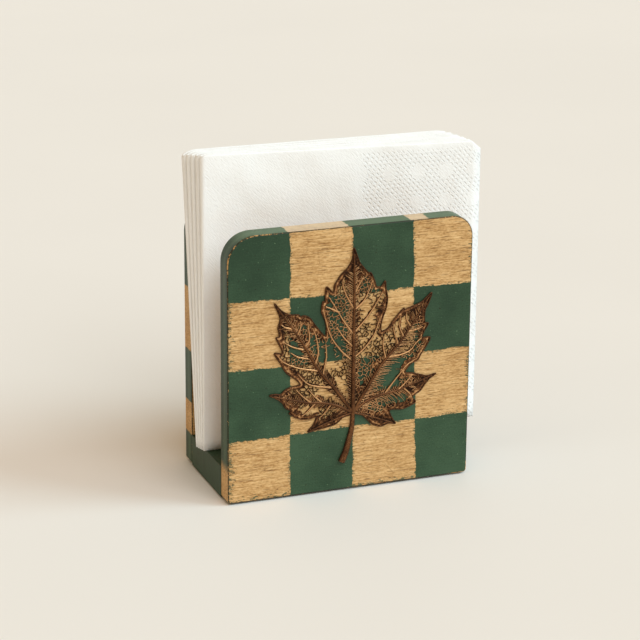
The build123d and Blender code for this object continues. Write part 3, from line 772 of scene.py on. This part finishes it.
def vein_tree():
    """Geometry Nodes: each path becomes a rounded ridge, grooved on its crest, as wide as its points say."""
    inputs = [("Paths", "Geometry"), ("Step", "Float"), ("Sides", "Int"), ("Flatness", "Float"),
              ("Groove", "Float"), ("Bronze", "Material")]
    nodes, (paths, step, sides, flatness, groove, bronze) = open_tree("leaf_ridges", inputs)
    curve = nodes.node("GeometryNodeMeshToCurve", None, {"Mesh": paths})
    curve = nodes.node("GeometryNodeCurveSplineType", {"spline_type": "CATMULL_ROM"}, {"Curve": curve})
    curve = nodes.node("GeometryNodeResampleCurve", {"mode": "LENGTH"}, {"Curve": curve, "Length": step})
    curve = nodes.node("GeometryNodeSetCurveNormal", {"mode": "Z_UP"}, {"Curve": curve})
    radius = nodes.node("GeometryNodeInputRadius")
    ring = nodes.node("GeometryNodeCurvePrimitiveCircle", None, {"Resolution": sides, "Radius": 1.0})
    across, up, _ = nodes.axes(nodes.node("GeometryNodeInputPosition"))
    valley = (1 - abs(across * 1.9).rise(0.0, 1.0)) * up.rise(0.0, 0.4)
    shape = nodes.spot(across, up * flatness - valley * groove, 0.0)
    ring = nodes.node("GeometryNodeSetPosition", None, {"Geometry": ring, "Position": shape})
    ring = nodes.node("GeometryNodeStoreNamedAttribute", {"data_type": "FLOAT", "domain": "POINT"},
                      {"Geometry": ring, "Name": "groove", "Value": valley})
    ridge = nodes.node("GeometryNodeCurveToMesh", None,
                       {"Curve": curve, "Profile Curve": ring, "Scale": radius, "Fill Caps": True})
    return close_tree(nodes, ridge, bronze)


def grown(start, tree, settings, thickness=0.0):
    """The mesh that a Geometry Nodes tree makes of another, with its named inputs set and a thickness."""
    source = put("start", start)
    modifier = source.modifiers.new("grow", "NODES")
    modifier.node_group = tree
    for item in tree.interface.items_tree:
        if item.in_out == "INPUT" and item.name in settings:
            modifier[item.identifier] = settings[item.name]
    if thickness:
        wall = source.modifiers.new("wall", "SOLIDIFY")
        wall.thickness = thickness
        wall.offset = 0.0
    bpy.context.view_layer.update()
    graph = bpy.context.evaluated_depsgraph_get()
    mesh = bpy.data.meshes.new_from_object(source.evaluated_get(graph))
    source.modifiers.clear()
    bpy.data.objects.remove(source)
    return mesh


def mark(mesh, name, values):
    """Gives each point of a mesh a value under a name."""
    mesh.attributes.new(name, "FLOAT", "POINT").data.foreach_set("value", values)


def path_mesh(rows, level):
    """Rows of root half width, tip half width and path, as bare edges at one level for the ridge tree."""
    points, edges, halves = [], [], []
    for root, tip, path in rows:
        first = len(points)
        points += [(x * MM, z * MM, level * MM) for x, z in path]
        run = measured(path)[2]
        halves += list((root + (tip - root) * run / run[-1]) * MM)
        edges += [(first + k, first + k + 1) for k in range(len(path) - 1)]
        if path is LEAF_OUTLINE:
            edges.append((first + len(path) - 1, first))
    mesh = bpy.data.meshes.new("leaf_paths")
    mesh.from_pydata(points, edges, [])
    mark(mesh, "radius", halves)
    return mesh


def alike(paths, half):
    """Rows for paths that share their half widths."""
    return [(*half, path) for path in paths]


BRONZE_TONES = [(0.05, paint(40, 24, 14)), (0.32, paint(80, 50, 30)), (0.62, paint(136, 92, 57)),
                (0.95, paint(202, 154, 106))]


def bronze_finish(bronze, worn):
    """Browned bronze, rubbed to copper where the mask is high."""
    cloud = bronze.patches(0.12, 0.12, 0.12, 3.0)
    grain = bronze.patches(1.7, 1.7, 1.7, 3.0, 0.65)
    rub = worn + (grain - 0.5) * 0.9 + (cloud - 0.5) * 0.5
    return bronze.surface(bronze.tones(rub, BRONZE_TONES), 0.48 - rub * 0.22, grain, 0.12,
                          {"Metallic": 0.8, "Specular IOR Level": 0.2})


def leaf_finish():
    """The leaf's bronze: ridges are rubbed to their tone, most on the crest, and stay dark in the groove."""
    leaf = Finish("leaf_bronze")
    ridge = leaf.node("ShaderNodeAttribute", {"attribute_name": "ridge"}, out="Fac")
    groove = leaf.node("ShaderNodeAttribute", {"attribute_name": "groove"}, out="Fac")
    crest = (-leaf.facing_y).rise(0.6, 0.98)
    return bronze_finish(leaf, ridge * (0.62 + crest * 0.45) - groove * 0.9)


leaf_bronze = leaf_finish()
ridge_tree = vein_tree()
lace = lace_threads()
dark_lace = [path for path in lace if over_bare(path[1])]
bright_lace = [path for path in lace if not over_bare(path[1])]
# Each set of ridges: its rows, the level of its middle and the step along it in mm, its sides, how flat it
# is, the groove in its crest, and the tone that it is rubbed to.
ridge_sets = [
    (MAIN_VEINS, 0.7, 0.8, 12, 0.85, 0.55, 0.38),
    (alike(SIDE_VEINS, SIDE_VEIN_HALF), 0.6, 0.8, 8, 0.9, 0.0, 0.92),
    (alike([LEAF_OUTLINE], RIM_HALF), 0.6, 0.7, 8, 1.0, 0.0, 0.3),
    (alike([STEM], STEM_HALF), 0.75, 0.8, 16, 0.75, 0.0, 0.42),
    (alike(side_strokes(), STROKE_HALF), 0.5, 1.2, 4, 1.4, 0.0, 0.86),
    (alike(rim_fringe(), STROKE_HALF), 0.5, 1.2, 4, 1.4, 0.0, 0.52),
    (alike(dark_lace, DARK_THREAD_HALF), 0.38, 0.9, 4, 1.4, 0.0, 0.08),
    (alike(bright_lace, THREAD_HALF), 0.42, 0.9, 4, 1.4, 0.0, 0.8),
]
blade_points, blade_faces = lace_blade()
blade = bpy.data.meshes.new("leaf_blade")
blade.from_pydata((blade_points[:, :3] * MM).tolist(), [], blade_faces)
mark(blade, "ridge", blade_points[:, 3].tolist())
leaf_mesh = bmesh.new()
leaf_mesh.from_mesh(blade)
for rows, level, step, sides, flatness, groove, tone in ridge_sets:
    ridges = grown(path_mesh(rows, level), ridge_tree,
                   {"Step": step * MM, "Sides": sides, "Flatness": flatness, "Groove": groove,
                    "Bronze": leaf_bronze})
    mark(ridges, "ridge", [tone] * len(ridges.vertices))
    leaf_mesh.from_mesh(ridges)
panel_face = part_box("front_panel")[0].y
leaf_mesh.transform(Matrix(((1, 0, 0, LEAF_NODE[0] * MM), (0, 0, -1, panel_face),
                            (0, 1, 0, LEAF_NODE[1] * MM), (0, 0, 0, 1))))
for vert in leaf_mesh.verts:
    vert.co.y = min(vert.co.y, panel_face)
leaf_data = bpy.data.meshes.new("maple_leaf_casting")
leaf_mesh.to_mesh(leaf_data)
leaf_mesh.free()
leaf = add_piece("maple_leaf_casting", leaf_data, leaf_bronze)
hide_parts("maple_leaf")
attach(leaf, "holder")
dress("leaf_pins", bronze_finish(Finish("pin_bronze"), 0.4))


# Drawer: a pine tray with its bottom rabbeted into the sides, brads through the sides into the back and
# front, a front painted like the end block, and a small turned bronze knob held by a screw from inside.
drawer_coat = Finish("drawer_green")
drawer_straight = abs(drawer_coat.facing_x).most(abs(drawer_coat.facing_y)).most(abs(drawer_coat.facing_z))
drawer_corner = 1 - drawer_straight.rise(0.86, 0.985)
drawer_inside = (-drawer_coat.facing_x).rise(0.5, 0.8)
dress("drawer_front", painted_finish(drawer_coat, drawer_inside, drawer_corner * 0.7, 0.55))
for node in ("drawer_side_front", "drawer_side_back"):
    dress(node, long_grain)
for node in ("drawer_back", "drawer_bottom"):
    dress(node, cross_grain)
knob_coat = Finish("knob_bronze")
knob_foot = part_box("drawer_knob")[0].x / MM
knob_rub = (knob_coat.x - (knob_foot + 5.0)).rise(0.0, 6.0) * 0.45 + 0.25
dress("drawer_knob", bronze_finish(knob_coat, knob_rub))


def steel_finish():
    """Drawn steel wire, a little streaked."""
    steel = Finish("bright_steel")
    turn = steel.patches(4.0, 0.6, 4.0, 3.0)
    colour = steel.tones(turn, [(0.3, paint(120, 120, 118)), (0.7, paint(176, 176, 172))])
    return steel.surface(colour, 0.28 + turn * 0.2, turn, 0.02, {"Metallic": 1.0})


steel = steel_finish()
dress("knob_screw", steel)
dress("drawer_brads", steel)


# Napkins: white two-ply paper, 33 cm square, embossed along two borders and folded in four, with the last
# fold at the left and the pair of first folds on top. Five stand loose on the shelf, fanned to the back.
NAPKIN_HALF = 165 * MM
NAPKIN_PAPER = 0.2 * MM
NAPKIN_COUNT = 5
NAPKIN_NET = 111
NAPKIN_CROWD = 1.8
NAPKIN_SLACK = 0.4 * MM
NAPKIN_PARTING = 0.8 * MM
NAPKIN_CORNERS = [4.5, 5.0, 6.0, 7.0, 9.0]
BORDER_START = 94.0
DASH_PITCH = 2.1
DASH_LENGTH = 3.2
LATTICE_TURN = 0.262


def napkin_tree():
    """Geometry Nodes: a square net of paper is folded in four into the wedge that its napkin fills."""
    names = ("Half Size", "Width", "Paper", "Left", "Foot", "Front Foot", "Front Lean", "Foot Depth",
             "Top Depth", "Corner", "Slant", "Seed")
    inputs = [("Start", "Geometry"), *[(name, "Float") for name in names], ("Sheet", "Material")]
    nodes, given = open_tree("folded_napkin", inputs)
    (half, width, paper, left, foot, front_foot, front_lean, foot_depth, top_depth,
     corner, slant, seed, sheet) = given[1:]
    grid = nodes.node("GeometryNodeMeshGrid", None, {"Size X": 2.0, "Size Y": 2.0, "Vertices X": NAPKIN_NET,
                                                     "Vertices Y": NAPKIN_NET})
    net_x, net_y, _ = nodes.axes(nodes.node("GeometryNodeInputPosition"))
    down_run, side_run = [abs(net) ** NAPKIN_CROWD * net.math("SIGN", net) * half for net in (net_x, net_y)]
    quarter = math.pi / 2

    fold = (top_depth - paper) / 6
    roll = (down_run / fold).most(-quarter).least(quarter)
    crest = foot + half - fold * 0.7 - paper / 2
    drop = (abs(down_run) - fold * quarter).most(0.0) * (crest - foot - paper / 2) / (half - fold * quarter)
    level = crest + roll.math("COSINE", roll) * fold * 0.7 - drop
    share = (level - foot) / half
    depth = foot_depth + (top_depth - foot_depth) * share
    ply = (depth - paper) / 3
    reach = ply * (1 - roll.math("SINE", roll) * 0.5)
    wrap = (side_run / reach).most(-quarter).least(quarter)
    crease = ply * 0.9 + paper / 2
    along = (abs(side_run) - reach * quarter).most(0.0) * (width - crease) / (half - reach * quarter)
    x = left + crease - wrap.math("COSINE", wrap) * reach * 0.6 + along
    past = (x - left - width + corner).most(0.0).least(corner)
    rounding = corner - (corner * corner - past * past).most(0.0) ** 0.5
    before = (corner - x + left).most(0.0).least(corner)
    rounding = rounding + (corner - (corner * corner - before * before).most(0.0) ** 0.5) * 0.5
    rise = share * slant * (1 - (x - left) / width)
    z = level + rise - rounding * (share - 0.9).rise(0.0, 0.1)
    ripple = nodes.noise(x * 14.0, z * 9.0, seed * 3.7) - 0.5
    middle = front_foot + front_lean * (level - foot) + depth / 2
    y = middle + wrap.math("SINE", wrap) * reach + ripple * (NAPKIN_SLACK * 2)

    flat = nodes.node("GeometryNodeStoreNamedAttribute", {"data_type": "FLOAT2", "domain": "CORNER"},
                      {"Geometry": grid, "Name": "UVMap", "Value": nodes.spot(down_run, side_run, 0.0)})
    folded = nodes.node("GeometryNodeSetPosition", None,
                        {"Geometry": flat, "Position": nodes.spot(x, y, z)})
    return close_tree(nodes, folded, sheet)


def napkin_finish():
    """White embossed paper. The pattern lies on the flat sheet, so it follows the folds."""
    paper = Finish("napkin_paper")
    flat = paper.axes(paper.node("ShaderNodeUVMap", {"uv_map": "UVMap"}))
    down, side = [abs(value) * 1000.0 for value in flat[:2]]
    border = side.rise(BORDER_START, BORDER_START + 1.0) * down.rise(3.0, 6.0)
    slant = (side + down) * 0.7071
    cross = (side - down) * 0.7071
    row = cross / DASH_PITCH
    shift = row.math("FLOOR", row + 0.25) * 0.37
    line, beat = [turns.math("SINE", turns * (2 * math.pi)) for turns in (row, slant / DASH_LENGTH + shift)]
    waves = [run.math("SINE", run * LATTICE_TURN) for run in (slant, cross)]
    lattice = waves[0] * waves[1]
    dashes = line.rise(0.1, 0.8) * beat.rise(-0.5, 0.0) * (1 - lattice.rise(0.45, 0.55)) * border
    weave = paper.noise(cross * 1.6, slant * 0.35, 0.0, 3.0)
    crumple = paper.patches(0.026, 0.08, 0.02, 2.0, 0.45)
    fibre = paper.patches(0.7, 0.7, 0.7, 3.0)
    height = dashes * -0.6 + (weave - 0.5) * 0.7 + (fibre - 0.5) * 0.2 + (crumple - 0.5) * 10.0
    tone = 0.5 + (crumple - 0.5) * 0.3 + (fibre - 0.5) * 0.3
    colour = paper.tones(tone, [(0.2, paint(235, 236, 236)), (0.5, paint(241, 242, 242)),
                                (0.8, paint(246, 247, 247))])
    # The embossed dents are painted a little darker, as painted shade in the dents.
    colour = paper.mix(dashes * 0.07, colour, paint(200, 200, 198))
    return paper.surface(colour, 0.88, height, 0.4, {"Specular IOR Level": 0.3})


napkin_paper = napkin_finish()
fold_tree = napkin_tree()
for number in range(1, NAPKIN_COUNT + 1):
    node = f"napkin_{number}"
    low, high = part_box(node)
    corners = [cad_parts[node].matrix_world @ v.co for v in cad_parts[node].data.vertices]
    feet = [c.y for c in corners if c.z < low.z + 1e-5]
    tops = [c for c in corners if c.z > low.z + 0.9 * NAPKIN_HALF]
    front_foot, back_foot = min(feet), max(feet)
    front_top = min((c.y - front_foot) / (c.z - low.z) for c in tops)
    back_top = max((c.y - back_foot) / (c.z - low.z) for c in tops)
    depth = back_foot - front_foot
    left_top = max(c.z for c in corners if c.x < low.x + 1e-5)
    right_top = max(c.z for c in corners if c.x > high.x - 1e-5)
    folded = grown(bpy.data.meshes.new("napkin_start"), fold_tree, {
        "Half Size": NAPKIN_HALF, "Width": high.x - low.x, "Paper": NAPKIN_PAPER,
        "Left": low.x, "Foot": low.z, "Front Foot": front_foot + NAPKIN_SLACK / 2,
        "Front Lean": front_top + NAPKIN_PARTING / 2 / NAPKIN_HALF, "Foot Depth": depth - NAPKIN_SLACK,
        "Top Depth": depth + (back_top - front_top) * NAPKIN_HALF - NAPKIN_SLACK - NAPKIN_PARTING,
        "Corner": NAPKIN_CORNERS[number - 1] * MM, "Slant": left_top - right_top,
        "Seed": float(number), "Sheet": napkin_paper}, NAPKIN_PAPER)
    napkin = add_piece(f"folded_napkin_{number}", folded, napkin_paper)
    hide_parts(node)
    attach(napkin, node)


# Table and light: a plain pale table in a warm room, with a cool window high at the right, a broad soft
# light from the front and a weak warm lamp at the left. The camera stands left of the front and looks down.
TABLE = paint(235, 232, 228)
TABLE_DARK = paint(233, 230, 226)
ROOM = paint(237, 231, 222)
ROOM_LIGHT = (1.0, 0.72, 0.43, 1.0)
ROOM_POWER = 0.48
table_data = bpy.data.meshes.new("table")
table_data.from_pydata([(-4, -4, 0), (4, -4, 0), (4, 6, 0), (-4, 6, 0)], [], [(0, 1, 2, 3)])
table_finish = Finish("pale_table")
table_grain = table_finish.patches(0.004, 0.004, 0.0)
table_colour = table_finish.tones(table_grain, [(0.3, TABLE_DARK), (0.7, TABLE)])
table = add_piece("table", table_data, table_finish.surface(table_colour, 0.75, table_grain, 0.01))

scene = bpy.context.scene
scene.view_settings.view_transform = "Standard"
world = bpy.data.worlds.new("room")
scene.world = world
world.use_nodes = True
room = Nodes(world.node_tree)
world.node_tree.nodes.clear()
seen = room.node("ShaderNodeLightPath", out="Is Camera Ray")
mirrored = room.node("ShaderNodeLightPath", out="Is Glossy Ray")
through = room.node("ShaderNodeLightPath", out="Is Transmission Ray")
lit = room.node("ShaderNodeBackground", None, {"Color": ROOM_LIGHT, "Strength": ROOM_POWER})
shown = room.node("ShaderNodeBackground", None, {"Color": ROOM, "Strength": 1.0})
pick = room.node("ShaderNodeMixShader", None, {0: seen.most(mirrored).most(through), 1: lit, 2: shown})
world_output = world.node_tree.nodes.new("ShaderNodeOutputWorld")
world.node_tree.links.new(pick.socket, world_output.inputs["Surface"])

# Each far soft light: the way to it from the holder, its spread in degrees, its power and colour.
for name, aim, spread, power, colour in (
        ("window", (0.82, -0.42, 0.68), 28, 1.68, (0.64, 0.88, 1.0)),
        ("front", (0.12, -0.72, 0.7), 48, 1.62, (0.85, 0.94, 1.0)),
        ("lamp", (-0.85, -0.4, 0.45), 90, 0.22, (1.0, 0.79, 0.56))):
    lamp = bpy.data.lights.new(name, "SUN")
    lamp.angle = math.radians(spread)
    lamp.energy = power
    lamp.color = colour
    put(name, lamp).rotation_euler = Vector(aim).to_track_quat("Z", "Y").to_euler()

CAMERA_TURN = math.radians(-21.152)
CAMERA_RISE = math.radians(18.2)
CAMERA_ROLL = math.radians(0.502)
CAMERA_DISTANCE = 1.338
CAMERA_SHIFT = (-0.00349, 0.01572)
AIM_HEIGHT = 0.0715
LENS = 133.69
SENSOR = 36.0
camera_data = bpy.data.cameras.new("camera")
camera_data.lens = LENS
camera_data.sensor_width = SENSOR
camera = put("camera", camera_data)
camera.matrix_world = (
    Matrix.Translation((0, 0, AIM_HEIGHT)) @ Matrix.Rotation(CAMERA_TURN, 4, "Z")
    @ Matrix.Rotation(math.pi / 2 - CAMERA_RISE, 4, "X") @ Matrix.Rotation(CAMERA_ROLL, 4, "Z")
    @ Matrix.Translation((*CAMERA_SHIFT, CAMERA_DISTANCE)))
scene.camera = camera
